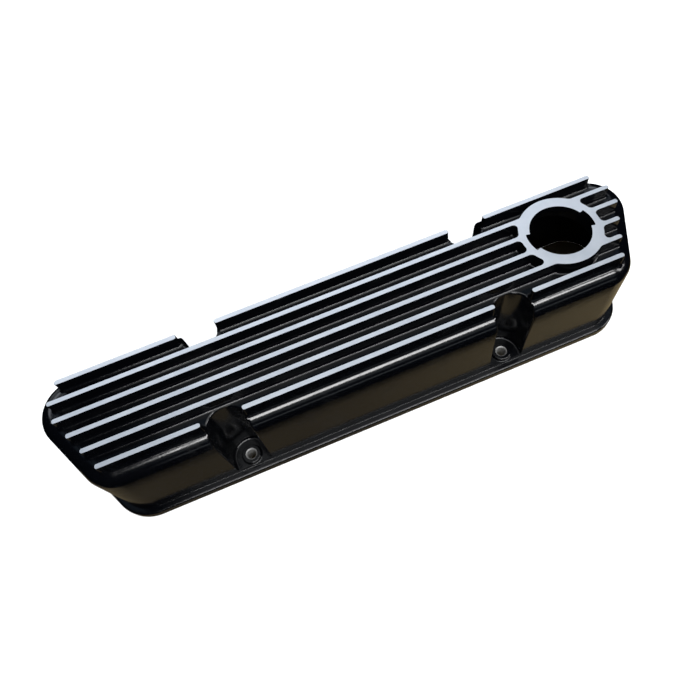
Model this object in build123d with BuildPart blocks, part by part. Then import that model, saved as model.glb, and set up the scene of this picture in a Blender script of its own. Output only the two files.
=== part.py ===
from build123d import *
from math import cos, radians, tan
import os

# ---------------------------------------------------------------- driving sizes, mm and degrees
# X runs along the engine, +Y is the long rear side, Z rises from the gasket face
overall_height = 88.5       # gasket face to the machined fin tops
wall_half_width = 48.1      # side walls at their foot, from the row axis
middle_half_length = 229.6  # end walls at their foot, measured on the row axis
end_angle = 28.0            # lean of the end walls in plan: the cover is longer at the rear
front_corner_radius = 26.4  # plan corners at the wall foot
rear_corner_radius = 28.5
draft_angle = 1.0           # side and end walls
shoulder_radius = 12.5      # walls into roof
wall_thickness = 4.0
roof_thickness = 5.0

# gasket flange
flange_width = 5.3          # beyond the wall foot
flange_thickness = 7.0
flange_edge_chamfer = 1.2

# fins on the roof
fin_count = 6
outer_fin_inset = 11.6      # side wall foot to the middle of the outer fins
fin_width = 3.8             # machined top face
fin_height = 10.0
fin_draft = 3.0
fin_setback = 12.9          # the line that the fin ends follow, inside the end wall foot
fin_side_margin = 3.8       # the same line, inside the side wall foot
fin_corner_radius = 26.6    # and its rear corners
fin_pocket_gap = 0.7        # fin end to the bolt pocket beside it
fin_end_roundness = 0.42    # end corner radius as a share of the fin width

# oil filler
filler_end_gap = 62.2       # filler axis to the end wall foot, along the row axis
filler_y = 1.2
filler_bore_radius = 22.4
filler_rim_width = 8.4
filler_lip_thickness = 5.0  # bayonet lip at the mouth of the bore
filler_slot_depth = 3.3     # bayonet slots, outside the bore
filler_slot_angle = 36.0
filler_slot_turn = 2.3      # slots, turned from the row axis
filler_relief = 0.6         # bore below the lip, outside the slots
rim_blend_radius = 2.3      # fin flanks into the filler rim

# bolt pockets
bolt_spacing_x = 215.9
bolt_inset = 7.8            # side wall foot to the bolt axes
bolt_hole_radius = 3.7
pocket_radius = 14.3
pocket_edge_chamfer = 1.2
pocket_floor_chamfer = 1.6
seat_height = 10.8          # gasket face to the pocket floor
boss_radius = 7.5
boss_height = 3.2
boss_edge_chamfer = 0.8
bore_chamfer = 0.5

# ---------------------------------------------------------------- derived sizes
fin_pitch = 2 * (wall_half_width - outer_fin_inset) / (fin_count - 1)
filler_x = middle_half_length - filler_end_gap
bolt_spacing_y = 2 * (wall_half_width - bolt_inset)
roof_z = overall_height - fin_height
cavity_z = roof_z - roof_thickness
fin_root_z = roof_z - roof_thickness / 2           # fins start inside the roof
boss_z = seat_height + boss_height
lip_z = overall_height - filler_lip_thickness
filler_outer_radius = filler_bore_radius + filler_rim_width
slot_radius = filler_bore_radius + filler_slot_depth
cavity_chamfer = (shoulder_radius - wall_thickness) / 2
bolt_grid = (bolt_spacing_x, bolt_spacing_y, 2, 2)
beyond = 2 * wall_half_width                       # clear of the casting on any side
touch = 0.01                                       # two places this near are one


def end_trapezoid(half_width, mid_length, front_radius, rear_radius):
    """Plan outline with leaning ends and rounded corners."""
    lean = half_width * tan(radians(end_angle))
    with BuildSketch() as plan:
        with BuildLine():
            Polyline(
                (lean - mid_length, -half_width),
                (mid_length - lean, -half_width),
                (mid_length + lean, half_width),
                (-mid_length - lean, half_width),
                close=True,
            )
        make_face()
        fillet(plan.vertices().group_by(Axis.Y)[0], front_radius)
        fillet(plan.vertices().group_by(Axis.Y)[-1], rear_radius)
    return plan.sketch


def wall_plan(outset):
    """The wall foot outline, moved outwards by outset."""
    return end_trapezoid(
        wall_half_width + outset,
        middle_half_length + outset / cos(radians(end_angle)),
        front_corner_radius + outset,
        rear_corner_radius + outset,
    )


def pocket_plan(radius):
    """Four U shapes round the bolts, open to the front and to the rear."""
    with BuildSketch() as plan:
        for side, inner in ((-1, Align.MAX), (1, Align.MIN)):
            y = side * bolt_spacing_y / 2
            with Locations((-bolt_spacing_x / 2, y), (bolt_spacing_x / 2, y)):
                Circle(radius)
                Rectangle(2 * radius, beyond, align=(Align.CENTER, inner))
    return plan.sketch


def fin_plan():
    """Milled plane: the six fin tops, four of them running into the filler rim."""
    side = wall_half_width - fin_side_margin
    ends = middle_half_length - fin_setback / cos(radians(end_angle))
    front_corners = fin_width                      # no fin reaches them
    with BuildSketch() as plan:
        with GridLocations(0, fin_pitch, 1, fin_count):
            Rectangle(2 * (ends + wall_half_width), fin_width)
        add(end_trapezoid(side, ends, front_corners, fin_corner_radius), mode=Mode.INTERSECT)
        add(pocket_plan(pocket_radius + fin_pocket_gap), mode=Mode.SUBTRACT)
        fillet(plan.vertices(), fin_end_roundness * fin_width)
        with Locations((filler_x, filler_y)):
            Circle(filler_outer_radius)
        centre = Vector(filler_x, filler_y)
        joins = plan.vertices().filter_by(
            lambda corner: abs((corner.center() - centre).length - filler_outer_radius) < touch
        )
        fillet(joins, rim_blend_radius)
    return plan.sketch


def filler_slots():
    """The two bayonet slots of the filler mouth: opposite sectors round its centre."""
    with BuildSketch() as sector:
        with BuildLine():
            rim = CenterArc((0, 0), slot_radius, -filler_slot_angle / 2, filler_slot_angle)
            Polyline(rim @ 1, (0, 0), rim @ 0)
        make_face()
    with BuildSketch() as plan:
        with Locations(Rotation(0, 0, filler_slot_turn), Rotation(0, 0, filler_slot_turn + 180)):
            add(sector.sketch)
    return plan.sketch


def level_faces(builder, z):
    """Flat faces of the part at height z."""
    return builder.faces().filter_by(Axis.Z).filter_by_position(Axis.Z, z - touch, z + touch)


with BuildPart() as cavity:
    with BuildSketch():
        add(wall_plan(-wall_thickness))
    extrude(amount=cavity_z, taper=draft_angle)
    chamfer(cavity.faces().sort_by(Axis.Z)[-1].edges(), cavity_chamfer)
    with BuildSketch():
        add(pocket_plan(pocket_radius + wall_thickness))
    extrude(amount=cavity_z, mode=Mode.SUBTRACT)

with BuildPart() as fins:
    with BuildSketch(Plane.XY.offset(overall_height)):
        add(fin_plan())
    extrude(amount=fin_root_z - overall_height, taper=-fin_draft)

with BuildPart() as valve_cover:
    # drafted box with a round shoulder
    with BuildSketch():
        add(wall_plan(0))
    extrude(amount=roof_z, taper=draft_angle)
    fillet(valve_cover.faces().sort_by(Axis.Z)[-1].edges(), shoulder_radius)

    # bolt pockets, let into the walls down to their seats
    with BuildSketch(Plane.XY.offset(seat_height)):
        add(pocket_plan(pocket_radius))
    extrude(amount=overall_height, mode=Mode.SUBTRACT)
    cut_edges = valve_cover.edges(Select.LAST)
    seat_edges = cut_edges.group_by(Axis.Z)[0]
    chamfer((cut_edges - seat_edges).filter_by(Axis.Z, reverse=True), pocket_edge_chamfer)
    seats = level_faces(valve_cover, seat_height)
    open_edges = seats.edges().filter_by(Axis.X)   # the seats end in the side walls here
    chamfer(seats.edges() - open_edges, pocket_floor_chamfer)

    # gasket flange
    with BuildSketch():
        add(wall_plan(flange_width))
    extrude(amount=flange_thickness)
    chamfer(level_faces(valve_cover, flange_thickness)[0].outer_wire().edges(), flange_edge_chamfer)

    # bolt bosses on the pocket seats
    with BuildSketch(Plane.XY.offset(seat_height)):
        with GridLocations(*bolt_grid):
            Circle(boss_radius)
    extrude(amount=boss_height)
    chamfer(level_faces(valve_cover, boss_z).edges(), boss_edge_chamfer)

    # fins, filler rim and the hollow underside
    add(fins.part)
    add(cavity.part, mode=Mode.SUBTRACT)

    # filler bore: a bayonet lip with two slots, and the relief below it
    with BuildSketch(Plane.XY.offset(overall_height)):
        with Locations((filler_x, filler_y)):
            Circle(filler_bore_radius)
            add(filler_slots())
    extrude(amount=cavity_z - overall_height, mode=Mode.SUBTRACT)
    with BuildSketch(Plane.XY.offset(lip_z)):
        with Locations((filler_x, filler_y)):
            Circle(slot_radius + filler_relief)
    extrude(amount=cavity_z - lip_z, mode=Mode.SUBTRACT)

    # bolt holes
    with Locations((0, 0, boss_z)):
        with GridLocations(*bolt_grid):
            Hole(bolt_hole_radius)
    chamfer(level_faces(valve_cover, boss_z).edges().group_by(SortBy.RADIUS)[0], bore_chamfer)

valve_cover.part.label = "valve_cover"

os.makedirs("parts", exist_ok=True)
export_step(valve_cover.part, "parts/valve_cover.step")
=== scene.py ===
import math

import bmesh
import bpy
from mathutils import Matrix, Vector


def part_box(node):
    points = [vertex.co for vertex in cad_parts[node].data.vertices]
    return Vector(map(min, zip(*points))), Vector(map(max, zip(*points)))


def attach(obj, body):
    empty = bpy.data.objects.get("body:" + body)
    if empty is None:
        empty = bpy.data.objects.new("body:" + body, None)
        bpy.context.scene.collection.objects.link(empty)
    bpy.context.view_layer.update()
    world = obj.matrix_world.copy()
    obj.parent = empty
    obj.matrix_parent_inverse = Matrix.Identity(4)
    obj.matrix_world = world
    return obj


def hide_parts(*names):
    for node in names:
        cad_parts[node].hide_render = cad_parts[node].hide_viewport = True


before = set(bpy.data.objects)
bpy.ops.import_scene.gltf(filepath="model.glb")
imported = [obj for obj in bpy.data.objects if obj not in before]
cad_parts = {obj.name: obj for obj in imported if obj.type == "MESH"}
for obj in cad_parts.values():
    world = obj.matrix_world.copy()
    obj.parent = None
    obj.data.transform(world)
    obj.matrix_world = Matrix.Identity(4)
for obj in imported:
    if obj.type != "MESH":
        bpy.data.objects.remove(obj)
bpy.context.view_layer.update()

# ---------------------------------------------------------------- sizes in metres, angles in degrees
# X runs along the engine, +Y is the long rear side, Z rises from the gasket face
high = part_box("valve_cover")[1]
top_z = high[2]
flange_width = 0.0053
wall_half_width = high[1] - flange_width
end_angle = 28.0
lean = math.tan(math.radians(end_angle))
front_corner_radius = 0.0264
rear_corner_radius = 0.0285
middle_half_length = 0.2296
draft = math.tan(math.radians(1.0))
shoulder_radius = 0.0125
wall = 0.004
roof_thickness = 0.005

flange_thickness = 0.007
flange_edge_radius = 0.0018
flange_root_radius = 0.0005

fin_count = 6
fin_pitch = 0.0146
fin_half_width = 0.0019
fin_height = 0.010
fin_draft = math.tan(math.radians(3.0))
fin_foot_radius = 0.0021
fin_edge = 0.00025
fin_end_roundness = 0.94    # corner rounding of a fin's end, as a share of its half width
fin_setback = 0.0129
fin_corner_radius = 0.0266
fin_side_margin = 0.0038
fin_pocket_gap = 0.0007
inner_corner_cut = 0.0007   # rounding where the fins run into the filler rim
root_depth = 0.0042         # how far the fins reach down into the roof

filler = Vector((0.1674, 0.0012, 0))
bore_radius = 0.0224
rim_radius = 0.0308
slot_radius = 0.0257
slot_angle = 36.0
slot_turn = 2.3
slot_corner_radius = 0.0008
lip_thickness = 0.005
relief_radius = 0.0263

bolt_x = 0.10795
bolt_y = 0.0403
bolt_hole_radius = 0.0037
bolt_hole_chamfer = 0.0009
pocket_radius = 0.0143
pocket_edge_radius = 0.0016
pocket_floor_radius = 0.0016
pocket_trim = 0.0001        # how far the fin feet stay clear of the pocket walls
seat_z = 0.0108
seat_edge_radius = 0.0006
boss_radius = 0.0075
boss_height = 0.0032
boss_edge_radius = 0.0008

# flats round each circle
pocket_sides = 64
rim_sides = 128
slot_sides = 180
bolt_hole_sides = 48
boss_sides = 64

# how close points may be before they are merged, and how far cutters stand out past the metal
merge = 0.00001
weld = 0.000001
slot_overlap = merge * 5
overshoot = 0.01
pocket_run_out = wall_half_width / 2

# least turn between the two faces of an edge, in radians
pocket_rim_turn = 0.5
slot_corner_turn = 0.7
square_turn = 1.0

# other tests on faces and points
squarely = 0.9              # least share of a normal along an axis, for a face that looks along it
inner_corner_turn = 15.0    # least turn of an outline at an inner corner
facet_slack = 0.0025        # how far a flat of a round wall may lie off its circle, as a share of the radius
smooth_angle = 32.0

# floor, cards, the sheet of painted shade and lamps
floor_size = 3
card_length = 0.62
card_width = 0.0748
card_z = 0.0001
sheet_gap = 0.0003
sheet_z = 0.00005
lamp_distance = 2.0

# worked out from these
roof_z = top_z - fin_height
cavity_z = roof_z - roof_thickness
inner_radius = shoulder_radius - wall
lip_z = top_z - lip_thickness
fin_rows = [fin_pitch * (i - (fin_count - 1) / 2) for i in range(fin_count)]
bolt_places = [(x, y) for x in (-bolt_x, bolt_x) for y in (-bolt_y, bolt_y)]


# ---------------------------------------------------------------- bench tools
def clear_choice():
    if bpy.context.mode != "OBJECT":
        bpy.ops.object.mode_set(mode="OBJECT")
    bpy.ops.object.select_all(action="DESELECT")


def take_up(piece):
    """Makes one piece the only one selected."""
    clear_choice()
    bpy.context.view_layer.objects.active = piece
    piece.select_set(True)


def work_on(piece):
    """Opens one piece in edit mode with nothing in it selected."""
    take_up(piece)
    bpy.ops.object.mode_set(mode="EDIT")
    bpy.ops.mesh.select_mode(type="VERT")
    bpy.ops.mesh.select_all(action="DESELECT")


def done():
    bpy.ops.object.mode_set(mode="OBJECT")


def choose(kind, test):
    """Selects the vertices, edges or faces of the open piece that pass the test, and nothing else."""
    bpy.ops.mesh.select_mode(type={"verts": "VERT", "edges": "EDGE", "faces": "FACE"}[kind])
    bpy.ops.mesh.select_all(action="DESELECT")
    mesh = bpy.context.edit_object.data
    shape = bmesh.from_edit_mesh(mesh)
    for part in getattr(shape, kind):
        part.select_set(test(part))
    shape.select_flush_mode()
    bmesh.update_edit_mesh(mesh)


def turns(edge, least):
    """True where two faces meet at more than this turn."""
    return len(edge.link_faces) == 2 and edge.calc_face_angle() > least


def new_piece(name):
    """The primitive just added, named and ready to shape."""
    piece = bpy.context.active_object
    piece.name = name
    piece.data.name = name
    return piece


def settle(piece):
    """Object at the origin, unturned and unscaled, with its place in its mesh."""
    take_up(piece)
    bpy.ops.object.transform_apply(location=True, rotation=True, scale=True)


def outward(piece):
    work_on(piece)
    bpy.ops.mesh.select_all(action="SELECT")
    bpy.ops.mesh.remove_doubles(threshold=merge)
    bpy.ops.mesh.normals_make_consistent(inside=False)
    done()


def empty_piece(name):
    """A piece with nothing in it, open for its outlines."""
    clear_choice()
    bpy.ops.mesh.primitive_plane_add(size=merge)
    piece = new_piece(name)
    work_on(piece)
    bpy.ops.mesh.select_all(action="SELECT")
    bpy.ops.mesh.delete(type="VERT")
    return piece


def upright_bar(name, x, y, radius, z0, z1, sides):
    clear_choice()
    bpy.ops.mesh.primitive_cylinder_add(vertices=sides, radius=radius, depth=z1 - z0,
                                        location=(x, y, (z0 + z1) / 2))
    bar = new_piece(name)
    settle(bar)
    return bar


def join(parts, name):
    clear_choice()
    for part in parts:
        part.select_set(True)
    bpy.context.view_layer.objects.active = parts[0]
    bpy.ops.object.join()
    return new_piece(name)


def combine(piece, other, operation):
    """Joins another solid to the piece, or cuts it away, and uses it up."""
    take_up(piece)
    step = piece.modifiers.new(operation.lower(), "BOOLEAN")
    step.operation = operation
    step.solver = "EXACT"
    step.object = other
    bpy.ops.object.modifier_apply(modifier=step.name)
    bpy.data.objects.remove(other)
    work_on(piece)
    bpy.ops.mesh.select_all(action="SELECT")
    bpy.ops.mesh.remove_doubles(threshold=weld)
    bpy.ops.mesh.dissolve_degenerate(threshold=weld)
    done()


def step_up(profile):
    """Raises the selected flat faces through a profile of (inset, height) places, as nested rings."""
    for (inset, z), (next_inset, next_z) in zip(profile, profile[1:]):
        if next_inset - inset < merge:
            bpy.ops.mesh.extrude_region_move(TRANSFORM_OT_translate={"value": (0, 0, next_z - z)})
        else:
            bpy.ops.mesh.inset(thickness=next_inset - inset, depth=next_z - z, use_even_offset=True)


def arc(centre_inset, centre_z, radius, start, end, steps):
    """Places on an arc of a profile. The angle is the surface's lean: 0 upright, 90 level."""
    places = []
    for i in range(steps + 1):
        a = math.radians(start + (end - start) * i / steps)
        places.append((centre_inset - radius * math.cos(a), centre_z + radius * math.sin(a)))
    return places


def cove(radius, floor_z, angles):
    """Places on a hollow corner that starts level on a floor."""
    places = []
    for angle in angles:
        a = math.radians(angle)
        places.append((radius * math.sin(a), floor_z + radius * (1 - math.cos(a))))
    return places


def rounded_plate(name, corners, z, steps=28):
    """A flat face with straight sides and round corners: the sides are drawn out and each corner is spun."""
    clear_choice()
    count = len(corners)
    legs = []
    for i in range(count):
        before, here, after = (Vector(corners[(i + k) % count][:2] + (z,)) for k in (-1, 0, 1))
        radius = corners[i][2]
        back, ahead = (before - here).normalized(), (after - here).normalized()
        half = back.angle(ahead) / 2
        reach = radius / math.tan(half)
        centre = here + (back + ahead).normalized() * radius / math.sin(half)
        legs.append((here + back * reach, centre, math.pi - 2 * half, here + ahead * reach))
    bpy.ops.mesh.primitive_plane_add(size=merge, location=legs[0][0])
    piece = new_piece(name)
    settle(piece)
    work_on(piece)
    bpy.ops.mesh.select_all(action="SELECT")
    bpy.ops.mesh.merge(type="CENTER")
    place = legs[0][0]
    for start, centre, turn, end in legs:
        if (start - place).length > merge:
            bpy.ops.mesh.extrude_region_move(TRANSFORM_OT_translate={"value": start - place})
        bpy.ops.mesh.spin(steps=steps, angle=-turn, center=centre, axis=(0, 0, 1))
        place = end
    bpy.ops.mesh.select_all(action="SELECT")
    bpy.ops.mesh.remove_doubles(threshold=merge)
    bpy.ops.mesh.edge_face_add()
    choose("faces", lambda face: face.normal.z < 0)
    bpy.ops.mesh.flip_normals()
    choose("faces", lambda face: True)
    return piece


# ---------------------------------------------------------------- flange, walls, shoulder and roof
def end_trapezoid(outset):
    """Corners of the plan, counter-clockwise, with their radii: the cover is longer at the rear."""
    half = wall_half_width + outset
    middle = middle_half_length + outset / math.cos(math.radians(end_angle))
    near, far = middle - half * lean, middle + half * lean
    front, rear = front_corner_radius + outset, rear_corner_radius + outset
    return [(-near, -half, front), (near, -half, front), (far, half, rear), (-far, half, rear)]


def make_body():
    """One plate raised ring by ring: flange edge, flange top, root, drafted wall, shoulder."""
    body = rounded_plate("cover_casting", end_trapezoid(flange_width), 0)
    edge, root = flange_edge_radius, flange_root_radius
    profile = [(0, 0)] + arc(edge, flange_thickness - edge, edge, 0, 90, 6)
    root_z = flange_thickness + root
    root_inset = flange_width + draft * root_z
    for angle in range(0, 90, 15):
        a = math.radians(angle)
        profile.append((root_inset - root * (1 - math.sin(a)), root_z - root * math.cos(a)))
    profile.append((root_inset, root_z))
    centre_z = roof_z - shoulder_radius
    centre_inset = flange_width + shoulder_radius + draft * centre_z
    profile += shoulder_rings(centre_inset, centre_z)
    step_up(profile)
    done()
    outward(body)
    return body


def shoulder_rings(centre_inset, centre_z):
    """The shoulder's rings: even ones at first, then one at each corner of the round pocket walls."""
    rings = []
    for angle in range(1, 60, 5):
        a = math.radians(angle)
        rings.append((centre_inset - shoulder_radius * math.cos(a), centre_z + shoulder_radius * math.sin(a)))
    quarter = pocket_sides // 4
    outer = wall_half_width + flange_width
    nearly_level = centre_inset - shoulder_radius * 0.02
    for i in range(quarter, 0, -1):
        inset = outer - (bolt_y - pocket_radius * math.cos(i * math.pi / (2 * quarter)))
        if inset < nearly_level:
            rise = math.sqrt(shoulder_radius ** 2 - (centre_inset - inset) ** 2)
            rings.append((inset, centre_z + rise))
    rings.append((centre_inset, roof_z))
    return rings


def run_out(bar, x, y):
    """Halves a round bar at its axis and runs it out past the cover's side. It stays open in edit mode."""
    side = math.copysign(1, y)
    work_on(bar)
    bpy.ops.mesh.select_all(action="SELECT")
    bpy.ops.mesh.bisect(plane_co=(x, y, 0), plane_no=(0, side, 0), use_fill=True, clear_outer=True)
    choose("faces", lambda face: face.normal.y * side > squarely
           and abs(face.calc_center_median().y - y) < merge)
    bpy.ops.mesh.extrude_region_move(TRANSFORM_OT_translate={"value": (0, side * pocket_run_out, 0)})


def make_pocket_cutter():
    """Four round-nosed plugs, open to the front and the rear, rounded at their foot."""
    plugs = []
    for x, y in bolt_places:
        plug = upright_bar("pocket_plug", x, y, pocket_radius, seat_z, seat_z + 2 * top_z, pocket_sides)
        run_out(plug, x, y)
        choose("edges", lambda edge: turns(edge, square_turn)
               and all(vert.co.z < seat_z + merge for vert in edge.verts)
               and not all(abs(vert.co.y) > wall_half_width for vert in edge.verts))
        bpy.ops.mesh.bevel(offset=pocket_floor_radius, segments=5, affect="EDGES", clamp_overlap=False)
        done()
        outward(plug)
        plugs.append(plug)
    return join(plugs, "pocket_plugs")


def on_pocket_wall(place):
    """True on the upright walls of any pocket."""
    x, y = abs(place.x) - bolt_x, abs(place.y) - bolt_y
    if y > 0:
        return abs(abs(x) - pocket_radius) < 2 * merge
    return abs(math.hypot(x, y) - pocket_radius) < 2 * merge + pocket_radius * facet_slack


def round_pocket_edges(body):
    """Rounds each pocket's rim, and the front edge of its floor."""
    rim_foot = seat_z + pocket_floor_radius / 2
    work_on(body)
    choose("edges", lambda edge: turns(edge, pocket_rim_turn)
           and all(on_pocket_wall(vert.co) and vert.co.z > rim_foot for vert in edge.verts))
    bpy.ops.mesh.bevel(offset=pocket_edge_radius, segments=4, affect="EDGES", clamp_overlap=False)
    choose("edges", lambda edge: turns(edge, square_turn)
           and all(abs(vert.co.z - seat_z) < merge and abs(vert.co.y) > bolt_y + merge
                   for vert in edge.verts))
    bpy.ops.mesh.bevel(offset=seat_edge_radius, segments=3, affect="EDGES", clamp_overlap=False)
    done()


# ---------------------------------------------------------------- fins, filler rim and bosses
def fin_section():
    """The fin's section: its root in the roof, a cove, the drafted flank and the broken top edge."""
    foot = cove(fin_foot_radius, roof_z, range(0, 85, 7))
    flank_z = top_z - fin_edge
    flank_inset = foot[-1][0] + fin_draft * (flank_z - foot[-1][1])
    return [(0, roof_z - root_depth)] + foot + [(flank_inset, flank_z), (flank_inset + fin_edge, top_z)]


def fin_flare():
    """How much wider the fin's foot is than the fin just under its broken edge, to one side."""
    return fin_section()[-2][0]


def fin_reach(y):
    """How far a fin runs along the cover: up to a line behind the end walls, round at its rear corners."""
    setback = fin_setback / math.cos(math.radians(end_angle))
    line = middle_half_length - setback + y * lean
    side = wall_half_width - fin_side_margin
    tangent = fin_corner_radius / math.tan(math.radians(90 - end_angle) / 2)
    corner_x = middle_half_length - setback + side * lean
    centre = (corner_x - tangent, side - fin_corner_radius)
    if y > centre[1] - fin_corner_radius * math.sin(math.radians(end_angle)):
        return centre[0] + math.sqrt(fin_corner_radius ** 2 - (y - centre[1]) ** 2)
    return line - fin_half_width / math.cos(math.radians(end_angle)) + fin_half_width


def add_fin_outline(x0, x1, y, half_width, z):
    """A flat bar with round ends, added to the open piece."""
    bpy.ops.mesh.select_mode(type="VERT")
    bpy.ops.mesh.select_all(action="DESELECT")
    centre = Vector(((x0 + x1) / 2, y, z))
    bpy.ops.mesh.primitive_plane_add(size=2, location=centre)
    bpy.ops.transform.resize(value=((x1 - x0) / 2, half_width, 1), center_override=centre)
    bpy.ops.mesh.bevel(affect="VERTICES", offset=half_width * fin_end_roundness, segments=8, profile=0.5,
                       clamp_overlap=False)


def raise_fins(fins, body):
    """Gives every plan outline its root and its section, and drapes the foot over the shoulder."""
    profile = fin_section()
    work_on(fins)
    choose("faces", lambda face: True)
    step_up(profile)
    done()
    outward(fins)
    for _, z in profile[1:-2]:
        drape_ring(fins, body, z)
    trim_at_pockets(fins)


def drape_ring(fins, body, z):
    """Lowers one ring of the foot so that it keeps its height over the roof where the roof falls away."""
    work_on(fins)
    choose("verts", lambda vert: abs(vert.co.z - z) < merge)
    bpy.ops.object.vertex_group_assign_new()
    done()
    lay = fins.modifiers.new("lay_on_body", "SHRINKWRAP")
    lay.target = body
    lay.vertex_group = fins.vertex_groups.active.name
    lay.wrap_method = "PROJECT"
    lay.use_project_z = True
    lay.use_positive_direction = True
    lay.use_negative_direction = True
    lay.offset = z - roof_z - 2 * merge
    bpy.ops.object.modifier_apply(modifier=lay.name)
    fins.vertex_groups.clear()


def trim_at_pockets(fins):
    """Takes the fin feet back to the pocket walls."""
    reach = 1.5 * top_z
    plugs = [upright_bar("trim_plug", x, y, pocket_radius + pocket_trim, -reach, reach, 2 * pocket_sides)
             for x, y in bolt_places]
    combine(fins, join(plugs, "trim_plugs"), "DIFFERENCE")


def make_outer_fins(body):
    """The first and last fin, each broken by two pockets."""
    flare = fin_flare()
    fins = empty_piece("outer_fins")
    for y in (fin_rows[0], fin_rows[-1]):
        clear = pocket_radius + fin_pocket_gap + fin_half_width
        gap = math.sqrt(clear ** 2 - (bolt_y - abs(y)) ** 2) - fin_half_width
        ends = [-fin_reach(y), -bolt_x - gap, -bolt_x + gap, bolt_x - gap, bolt_x + gap, fin_reach(y)]
        for x0, x1 in zip(ends[::2], ends[1::2]):
            add_fin_outline(x0 - flare, x1 + flare, y, fin_half_width + flare, roof_z - root_depth)
    done()
    raise_fins(fins, body)
    return fins


def make_inner_fins(body):
    """Four fins run into the filler rim: one plan outline with small round inner corners, raised as one."""
    flare = fin_flare()
    base_z = roof_z - root_depth
    fins = empty_piece("inner_fins")
    for y in fin_rows[1:-1]:
        reach = fin_reach(y) + flare
        add_fin_outline(-reach, reach, y, fin_half_width + flare, base_z)
    bpy.ops.mesh.select_all(action="SELECT")
    bpy.ops.mesh.extrude_region_move(TRANSFORM_OT_translate={"value": (0, 0, -root_depth)})
    done()
    outward(fins)
    rim = upright_bar("filler_rim", filler.x, filler.y, rim_radius + flare, base_z - root_depth, base_z,
                      rim_sides)
    combine(fins, rim, "UNION")
    work_on(fins)
    choose("faces", lambda face: face.normal.z < squarely)
    bpy.ops.mesh.delete(type="FACE")
    bpy.ops.mesh.select_all(action="SELECT")
    bpy.ops.mesh.dissolve_limited(angle_limit=math.radians(1))
    choose("verts", crowds_inner_corner)
    bpy.ops.mesh.dissolve_verts()
    choose("verts", is_inner_corner)
    bpy.ops.mesh.bevel(affect="VERTICES", offset=inner_corner_cut, segments=5, profile=0.5,
                       clamp_overlap=False)
    done()
    raise_fins(fins, body)
    return fins


def is_inner_corner(vert):
    """True where the outline of a flat face turns inwards sharply."""
    if len(vert.link_loops) != 1:
        return False
    loop = vert.link_loops[0]
    into = (vert.co - loop.link_loop_prev.vert.co).normalized()
    out = (loop.link_loop_next.vert.co - vert.co).normalized()
    return into.cross(out).z < -math.sin(math.radians(inner_corner_turn))


def crowds_inner_corner(vert):
    """True for an outline point too near an inner corner for that corner to be rounded."""
    near = 1.2 * inner_corner_cut
    return not is_inner_corner(vert) and any(
        edge.calc_length() < near and is_inner_corner(edge.other_vert(vert)) for edge in vert.link_edges)


def make_bosses():
    """Raised rings round the bolt holes, on the pocket floors."""
    bosses = []
    edge = boss_edge_radius
    base_z = seat_z - edge
    foot = cove(edge, seat_z, range(0, 91, 15))
    crown = arc(2 * edge, seat_z + boss_height - edge, edge, 0, 90, 5)
    for x, y in bolt_places:
        clear_choice()
        bpy.ops.mesh.primitive_circle_add(vertices=boss_sides, radius=boss_radius + edge, fill_type="NGON",
                                          location=(x, y, base_z))
        boss = new_piece("bolt_boss")
        settle(boss)
        work_on(boss)
        choose("faces", lambda face: True)
        step_up([(0, base_z)] + foot + crown)
        done()
        outward(boss)
        bosses.append(boss)
    return join(bosses, "bolt_bosses")


# ---------------------------------------------------------------- hollow underside and bores
def make_cavity():
    """The hollow, with round corners at its roof, less the posts that hold the pockets."""
    cavity = rounded_plate("cavity", end_trapezoid(-wall), -wall)
    centre_z = cavity_z - inner_radius
    step_up([(0, -wall), (0, 0)] + arc(inner_radius + draft * centre_z, centre_z, inner_radius, 1, 90, 8))
    done()
    outward(cavity)
    reach = 1.5 * top_z
    posts = []
    for x, y in bolt_places:
        post = upright_bar("pocket_post", x, y, pocket_radius + wall, -reach, reach, pocket_sides)
        run_out(post, x, y)
        done()
        outward(post)
        posts.append(post)
    combine(cavity, join(posts, "pocket_posts"), "DIFFERENCE")
    return cavity


def make_slot_cutter():
    """Two opposite sectors, for the ears of the filler cap."""
    sectors = []
    for turn in (slot_turn, slot_turn + 180):
        piece = upright_bar("cap_slot", filler.x, filler.y, slot_radius, lip_z - slot_overlap,
                            top_z + overshoot, slot_sides)
        for side in (-1, 1):
            a = math.radians(turn + side * slot_angle / 2)
            work_on(piece)
            bpy.ops.mesh.select_all(action="SELECT")
            bpy.ops.mesh.bisect(plane_co=filler, plane_no=(-side * math.sin(a), side * math.cos(a), 0),
                                use_fill=True, clear_outer=True)
            done()
        outward(piece)
        sectors.append(piece)
    return join(sectors, "cap_slots")


def from_filler(place):
    """Distance from the filler's axis."""
    return math.hypot(place.x - filler.x, place.y - filler.y)


def round_slot_corners(casting):
    """Rounds the upright corners of the cap slots. The relief bore later takes their lower ends."""
    lowest = lip_z - slot_overlap - 2 * weld
    work_on(casting)
    choose("edges", lambda edge: turns(edge, slot_corner_turn)
           and abs((edge.verts[0].co - edge.verts[1].co).normalized().z) > 0.99
           and all(vert.co.z > lowest and from_filler(vert.co) < slot_radius + merge for vert in edge.verts))
    bpy.ops.mesh.bevel(offset=slot_corner_radius, segments=4, affect="EDGES", clamp_overlap=False)
    done()


def bore_filler(casting):
    """Bores the filler mouth, cuts the slots in its lip, and relieves the bore below the lip."""
    x, y = filler.xy
    bore_foot = cavity_z - overshoot
    bore = upright_bar("filler_bore", x, y, bore_radius, bore_foot, top_z + overshoot, rim_sides)
    combine(casting, bore, "DIFFERENCE")
    combine(casting, make_slot_cutter(), "DIFFERENCE")
    round_slot_corners(casting)
    relief = upright_bar("filler_relief", x, y, relief_radius, bore_foot, lip_z, rim_sides)
    combine(casting, relief, "DIFFERENCE")


def from_bolt(place):
    """Distance from the axis of the nearest bolt hole."""
    return math.hypot(abs(place.x) - bolt_x, abs(place.y) - bolt_y)


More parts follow.
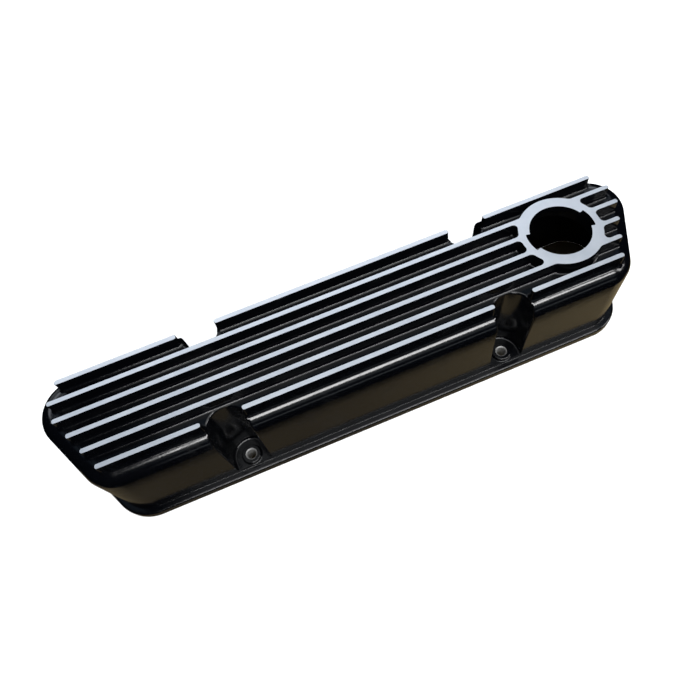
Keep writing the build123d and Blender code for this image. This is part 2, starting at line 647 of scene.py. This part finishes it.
def bore_bolts(casting):
    """Bores the bolt holes and breaks their upper edges."""
    holes = [upright_bar("bolt_hole", x, y, bolt_hole_radius, -overshoot, seat_z + 2 * overshoot,
                         bolt_hole_sides) for x, y in bolt_places]
    combine(casting, join(holes, "bolt_holes"), "DIFFERENCE")
    crown_z = seat_z + boss_height
    work_on(casting)
    choose("edges", lambda edge: turns(edge, square_turn)
           and all(abs(vert.co.z - crown_z) < merge and from_bolt(vert.co) < bolt_hole_radius + merge
                   for vert in edge.verts))
    bpy.ops.mesh.bevel(offset=bolt_hole_chamfer, segments=1, affect="EDGES", clamp_overlap=False)
    done()


def make_casting():
    """One casting: its inside keeps the finish of the cavity that is cut from it."""
    casting = make_body()
    coat_all(casting, black_coat)
    inner_fins, outer_fins = make_inner_fins(casting), make_outer_fins(casting)
    combine(casting, make_pocket_cutter(), "DIFFERENCE")
    round_pocket_edges(casting)
    combine(casting, inner_fins, "UNION")
    combine(casting, outer_fins, "UNION")
    combine(casting, make_bosses(), "UNION")
    cavity = make_cavity()
    coat_all(cavity, bare_casting)
    combine(casting, cavity, "DIFFERENCE")
    bore_filler(casting)
    bore_bolts(casting)
    return casting


# ---------------------------------------------------------------- finishes
class Reading:
    """A number or colour in a finish. Arithmetic on it adds Math nodes."""

    def __init__(self, finish, socket):
        self.finish = finish
        self.socket = socket

    def maths(self, operation, *terms):
        return self.finish.node("ShaderNodeMath", {"operation": operation}, dict(enumerate(terms)))

    def __add__(self, other):
        return self.maths("ADD", self, other)

    def __radd__(self, other):
        return self.maths("ADD", other, self)

    def __mul__(self, other):
        return self.maths("MULTIPLY", self, other)

    def __rmul__(self, other):
        return self.maths("MULTIPLY", other, self)


class Finish:
    """A material under way: node() adds any node and returns its first output, or the one asked for."""

    def __init__(self, name):
        self.material = bpy.data.materials.new(name)
        self.material.use_nodes = True
        self.nodes = self.material.node_tree.nodes
        self.links = self.material.node_tree.links
        self.nodes.clear()
        self.shader = self.nodes.new("ShaderNodeBsdfPrincipled")
        output = self.nodes.new("ShaderNodeOutputMaterial")
        self.links.new(self.shader.outputs[0], output.inputs["Surface"])

    def fill(self, node, inputs):
        for key, value in inputs.items():
            if isinstance(value, Reading):
                self.links.new(value.socket, node.inputs[key])
            else:
                node.inputs[key].default_value = value

    def node(self, kind, settings=None, inputs=None, output=0):
        node = self.nodes.new(kind)
        for key, value in (settings or {}).items():
            setattr(node, key, value)
        self.fill(node, inputs or {})
        return Reading(self, node.outputs[output])

    def surface(self, **sockets):
        self.fill(self.shader, {name.replace("_", " "): value for name, value in sockets.items()})

    def place(self):
        return self.node("ShaderNodeTexCoord", output="Object")

    def noise(self, place, scale, detail, roughness=0.5):
        return self.node("ShaderNodeTexNoise", inputs={"Vector": place, "Scale": scale, "Detail": detail,
                                                       "Roughness": roughness})

    def stretched(self, place, factors):
        return self.node("ShaderNodeVectorMath", {"operation": "MULTIPLY"}, {0: place, 1: factors})

    def spread(self, value, low, high):
        """The value's stretch from low to high, as a smooth rise from 0 to 1."""
        return self.node("ShaderNodeMapRange", {"interpolation_type": "SMOOTHSTEP"},
                         {"Value": value, "From Min": low, "From Max": high})

    def blend(self, factor, first, second):
        """A mix of two colours, each of red, green and blue."""
        return self.node("ShaderNodeMix", {"data_type": "RGBA"},
                         {0: factor, 6: first + (1,), 7: second + (1,)}, output=2)

    def bump(self, height, strength, distance):
        return self.node("ShaderNodeBump",
                         inputs={"Height": height, "Strength": strength, "Distance": distance})


def make_black_coat():
    """Gloss black powder coat over a sand casting: orange peel, soft waves, a few dull rubs."""
    coat = Finish("gloss_black_coat")
    place = coat.place()
    peel = coat.noise(place, scale=900, detail=2)
    waves = coat.noise(place, scale=140, detail=2)
    rubs = coat.spread(coat.noise(place, scale=34, detail=6, roughness=0.62), 0.52, 0.72)
    coat.surface(
        Base_Color=coat.blend(rubs, (0.0008, 0.0010, 0.0016), (0.003, 0.0033, 0.0038)),
        Roughness=0.12 + 0.05 * waves + 0.10 * rubs,
        Specular_IOR_Level=0.45,
        Normal=coat.bump(peel * 0.35 + waves, strength=0.18, distance=0.0003),
    )
    return coat.material


def make_machined_aluminium():
    """Milled fin tops and rim: fine marks across the cut, faint patches."""
    metal = Finish("machined_aluminium")
    place = metal.place()
    marks = metal.noise(metal.stretched(place, (2600, 160, 1)), scale=1, detail=3)
    patches = metal.noise(place, scale=45, detail=4, roughness=0.6)
    metal.surface(
        Base_Color=metal.blend(patches, (0.56, 0.59, 0.64), (0.78, 0.80, 0.82)),
        Metallic=1.0,
        Roughness=0.30 + 0.12 * patches + 0.08 * marks,
        Normal=metal.bump(marks, strength=0.15, distance=0.00005),
    )
    return metal.material


def make_bare_casting():
    """The inside, left as cast: dull grey sand texture."""
    bare = Finish("bare_cast_aluminium")
    place = bare.place()
    grain = bare.noise(place, scale=1400, detail=4, roughness=0.6)
    stain = bare.noise(place, scale=30, detail=4)
    bare.surface(
        Base_Color=bare.blend(stain, (0.30, 0.30, 0.30), (0.44, 0.44, 0.43)),
        Metallic=0.8,
        Roughness=0.52 + 0.12 * grain,
        Normal=bare.bump(grain, strength=0.5, distance=0.0003),
    )
    return bare.material


def make_floor_finish(name, dark, light):
    finish = Finish(name)
    tone = finish.noise(finish.place(), scale=3, detail=3)
    finish.surface(Base_Color=finish.blend(tone, dark, light), Roughness=0.9, Specular_IOR_Level=0.1)
    return finish.material


def make_bench_finish():
    """Warm bench top, paler towards its right end."""
    finish = Finish("warm_bench")
    place = finish.place()
    along = finish.node("ShaderNodeSeparateXYZ", inputs={0: place})
    tone = finish.spread(along + 0.05 * finish.noise(place, scale=9, detail=3), -0.05, 0.25)
    finish.surface(Base_Color=finish.blend(tone, (0.088, 0.070, 0.042), (0.20, 0.155, 0.085)),
                   Roughness=0.9, Specular_IOR_Level=0.1)
    return finish.material


def coat_all(piece, material):
    piece.data.materials.clear()
    piece.data.materials.append(material)


def paint(piece, material, test):
    """Gives the faces that pass the test another finish."""
    if material.name not in piece.data.materials:
        piece.data.materials.append(material)
    work_on(piece)
    choose("faces", test)
    piece.active_material_index = piece.data.materials.find(material.name)
    bpy.ops.object.material_slot_assign()
    done()


def on_fin_top(face):
    return face.calc_center_median().z > top_z - fin_edge / 4


def on_gasket_face(face):
    return face.calc_center_median().z < merge


def in_bolt_hole(face):
    near = bolt_hole_radius + bolt_hole_chamfer
    return abs(face.normal.z) < 0.8 and from_bolt(face.calc_center_median()) < near


def finish_casting(casting):
    paint(casting, machined_aluminium, on_fin_top)
    paint(casting, machined_aluminium, on_gasket_face)
    paint(casting, bare_casting, in_bolt_hole)
    take_up(casting)
    bpy.ops.object.shade_smooth_by_angle(angle=math.radians(smooth_angle))
    level = casting.modifiers.new("weighted", "WEIGHTED_NORMAL")
    level.keep_sharp = True
    level.weight = 100
    bpy.ops.object.modifier_apply(modifier=level.name)


black_coat = make_black_coat()
machined_aluminium = make_machined_aluminium()
bare_casting = make_bare_casting()

casting = make_casting()
finish_casting(casting)
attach(casting, "root")
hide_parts("valve_cover")


# ---------------------------------------------------------------- floor, lamps and camera
def make_floor():
    """A pale floor to stand on. The gloss doesn't show it."""
    clear_choice()
    bpy.ops.mesh.primitive_plane_add(size=floor_size, location=(0, 0, 0))
    floor = new_piece("floor")
    coat_all(floor, make_floor_finish("pale_floor", (0.86, 0.86, 0.86), (0.88, 0.88, 0.88)))
    floor.visible_glossy = False


def make_bench_card():
    """A warm card that only the gloss shows, under the front half of the cover and beyond."""
    clear_choice()
    bpy.ops.mesh.primitive_plane_add(size=1, location=(0, -card_width / 2, card_z))
    card = new_piece("bench_card")
    card.scale = (card_length, card_width, 1)
    settle(card)
    coat_all(card, make_bench_finish())
    card.visible_camera = False
    card.visible_diffuse = False
    card.visible_shadow = False


def make_painted_shade_sheet():
    """A sheet inside the cover's foot, seen through the filler mouth: the brown of the ground under the
    cover, darkened with painted shade.
    """
    sheet = rounded_plate("painted_shade_sheet", end_trapezoid(-wall - sheet_gap), sheet_z)
    done()
    # painted shade: the ground's brown, made much darker than the bench card for the shade under the cover
    coat_all(sheet, make_floor_finish("painted_shade_sheet", (0.022, 0.017, 0.010), (0.035, 0.027, 0.015)))


def new_lamp(name, size, size_y, glow):
    """An area lamp that the camera doesn't see. Its glow is its brightness, whatever its size."""
    lamp_data = bpy.data.lights.new(name, "AREA")
    lamp_data.shape = "RECTANGLE"
    lamp_data.size = size
    lamp_data.size_y = size_y
    lamp_data.energy = glow * math.pi * lamp_data.size * lamp_data.size_y
    lamp = bpy.data.objects.new(name, lamp_data)
    bpy.context.scene.collection.objects.link(lamp)
    lamp.visible_camera = False
    return lamp


def add_lamp(name, angle, spread, reach, glow, colour, seen_in_gloss=True):
    """A long lamp parallel to the fins. The angle leans from straight above towards the front."""
    start, end = reach
    lamp = new_lamp(name, end - start, 2 * lamp_distance * math.tan(math.radians(spread / 2)), glow)
    lamp.data.color = colour
    along = Vector((1, 0, 0))
    away = Vector((0, -math.sin(math.radians(angle)), math.cos(math.radians(angle))))
    lamp.matrix_world = Matrix((along, away.cross(along), away)).transposed().to_4x4()
    lamp.location = Vector(((start + end) / 2, 0, top_z)) + away * lamp_distance
    lamp.visible_glossy = seen_in_gloss


def add_side_window(location, size, glow):
    """A square lamp to the right, turned to the cover."""
    lamp = new_lamp("side_window", size, size, glow)
    lamp.location = location
    lamp.rotation_euler = Vector(location).to_track_quat("Z", "Y").to_euler()


def make_light():
    """A backdrop that only the camera sees, and lamps from the rear, over the top, to the front."""
    world = bpy.data.worlds.new("studio")
    bpy.context.scene.world = world
    world.use_nodes = True
    world.node_tree.nodes["Background"].inputs["Color"].default_value = (1, 1, 1, 1)
    world.cycles_visibility.diffuse = False
    world.cycles_visibility.glossy = False
    bpy.context.scene.view_settings.view_transform = "Standard"
    room, window = (-2.0, 2.0), (-0.72, 1.5)
    white = (1, 1, 1)
    rear_blue = (0.89, 0.95, 1.04)
    dusk_blue = (0.55, 0.75, 1)
    pale_blue = (0.95, 0.98, 1)
    front_blue = (0.85, 0.95, 1)
    add_lamp("soft_fill", 0, 70, room, 1.6, white, seen_in_gloss=False)
    add_lamp("rear_glow", -78, 24, room, 0.7, rear_blue)
    add_lamp("rear_sky", -46, 20, room, 2.3, rear_blue)
    add_lamp("rear_dusk", -26, 16, room, 0.2, dusk_blue)
    add_lamp("ceiling", 9, 48, window, 2.0, pale_blue)
    add_lamp("tube", 44.5, 8, window, 20, white)
    add_lamp("front_glow", 62, 14, window, 0.4, front_blue)
    add_lamp("horizon", 91, 5, window, 1.0, front_blue)
    add_side_window((1.9, -0.9, 1.1), 0.7, 9)


def make_camera():
    """The camera looks down on the cover from the front, rolled so that the fins climb to the right."""
    camera_data = bpy.data.cameras.new("camera")
    camera_data.sensor_width = 36
    camera_data.lens = 28.4
    camera_data.clip_start = 0.01
    camera = bpy.data.objects.new("camera", camera_data)
    bpy.context.scene.collection.objects.link(camera)
    right = Vector((0.92499, -0.36658, -0.10011))
    up = Vector((0.37040, 0.81093, 0.45300))
    back = Vector((-0.08487, -0.45609, 0.88587))
    camera.matrix_world = Matrix((right, up, back)).transposed().to_4x4()
    camera.location = (-0.04353, -0.19932, 0.42441)
    bpy.context.scene.camera = camera


make_floor()
make_bench_card()
make_painted_shade_sheet()
make_light()
make_camera()
